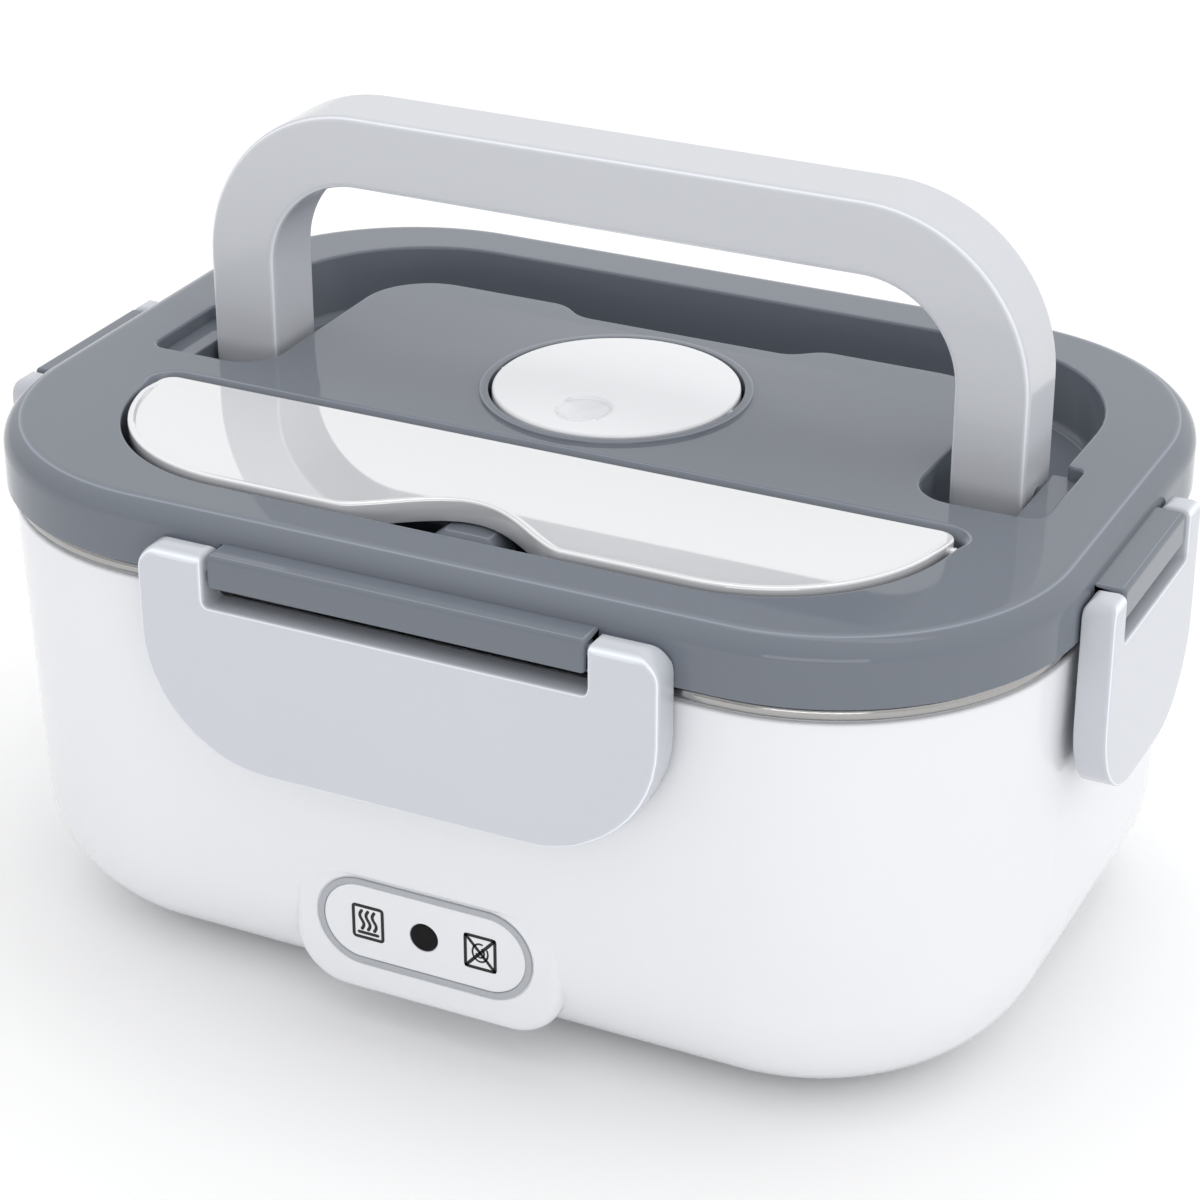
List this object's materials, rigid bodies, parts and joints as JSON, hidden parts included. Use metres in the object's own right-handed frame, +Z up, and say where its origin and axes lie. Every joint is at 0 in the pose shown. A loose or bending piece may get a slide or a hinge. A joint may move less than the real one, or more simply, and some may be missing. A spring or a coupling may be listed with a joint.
{
  "type": "electric lunch box",
  "caption": "Electric lunch box with a steel food container, a heated base, and a clip-on lid with a folding handle, cutlery compartment and rocking steam vent.",
  "frame": {"origin": "bottom centre of the body, on the table, below the middle of the rounded rectangle", "axes": "+X along the long side to the right seen from the control panel, +Y to the back, +Z up"},
  "size_m": [0.2522, 0.1852, 0.168],
  "materials": {
    "body_white": "gloss",
    "liner": "satin",
    "base_grey": "matte",
    "steel": "satin",
    "rubber": "matte",
    "aluminium": "satin",
    "element": "matte",
    "ceramic": "matte",
    "inlet": "gloss",
    "ring_grey": "satin",
    "lens": "gloss",
    "board": "matte",
    "brushed": "brushed",
    "lid_grey": "gloss",
    "silicone": "matte",
    "handle_grey": "gloss",
    "cover_white": "gloss",
    "latch_grey": "gloss"
  },
  "bodies": {
    "base": {"outer_housing": "body_white", "inner_liner": "liner", "base_plate": "base_grey", "base_screws": "steel", "rubber_feet": "rubber", "heating_plate": "aluminium", "ptc_heater": "element", "heater_clamp": "steel", "clamp_screws": "steel", "thermostat": "steel", "thermal_fuse": "ceramic", "ac_inlet": "inlet", "inlet_pins": "steel", "panel_ring": "ring_grey", "panel_plate": "body_white", "led_lens": "lens", "led_board": "board"},
    "container": {"steel_container": "brushed"},
    "lid": {"lid_shell": "lid_grey", "lid_inner": "liner", "lid_gasket": "silicone", "lid_screws": "steel", "handle_pins": "steel", "front_latch_pin": "steel", "right_latch_pin": "steel", "rear_latch_pin": "steel", "left_latch_pin": "steel"},
    "handle": {"handle": "handle_grey"},
    "cutlery_cover": {"cutlery_cover": "cover_white"},
    "vent": {"vent_cap": "cover_white", "vent_seal": "silicone"},
    "front_latch": {"front_latch": "latch_grey"},
    "right_latch": {"right_latch": "latch_grey"},
    "rear_latch": {"rear_latch": "latch_grey"},
    "left_latch": {"left_latch": "latch_grey"}
  },
  "joints": [
    {"name": "lid_lift", "type": "slide", "parent": "base", "child": "lid", "axis": [0, 0, 1], "range_m": [0, 0.05]},
    {"name": "container_lift", "type": "slide", "parent": "base", "child": "container", "axis": [0, 0, 1], "range_m": [0, 0.03]},
    {"name": "handle_fold", "type": "hinge", "parent": "lid", "child": "handle", "pos_m": [0, 0.0076, 0.107], "axis": [-1, 0, 0], "range_deg": [0, 90]},
    {"name": "cover_lift", "type": "hinge", "parent": "lid", "child": "cutlery_cover", "pos_m": [0, -0.03, 0.1119], "axis": [-1, 0, 0], "range_deg": [0, 85]},
    {"name": "vent_rock", "type": "hinge", "parent": "lid", "child": "vent", "pos_m": [0, 0.0081, 0.11225], "axis": [1, 0, 0], "range_deg": [0, 10]},
    {"name": "front_latch_hinge", "type": "hinge", "parent": "lid", "child": "front_latch", "pos_m": [0, -0.0892, 0.1054], "axis": [-1, 0, 0], "range_deg": [0, 140]},
    {"name": "right_latch_hinge", "type": "hinge", "parent": "lid", "child": "right_latch", "pos_m": [0.1227, -0.008, 0.1054], "axis": [0, -1, 0], "range_deg": [0, 140]},
    {"name": "rear_latch_hinge", "type": "hinge", "parent": "lid", "child": "rear_latch", "pos_m": [0, 0.0892, 0.1054], "axis": [1, 0, 0], "range_deg": [0, 140]},
    {"name": "left_latch_hinge", "type": "hinge", "parent": "lid", "child": "left_latch", "pos_m": [-0.1227, -0.008, 0.1054], "axis": [0, 1, 0], "range_deg": [0, 140]}
  ],
  "couplings": [
    {"joint": "container_lift", "follows": "lid_lift", "ratio": 0.6},
    {"joint": "front_latch_hinge", "follows": "lid_lift", "rad_per_m": 48.799},
    {"joint": "right_latch_hinge", "follows": "lid_lift", "rad_per_m": 48.799},
    {"joint": "rear_latch_hinge", "follows": "lid_lift", "rad_per_m": 48.799},
    {"joint": "left_latch_hinge", "follows": "lid_lift", "rad_per_m": 48.799}
  ]
}
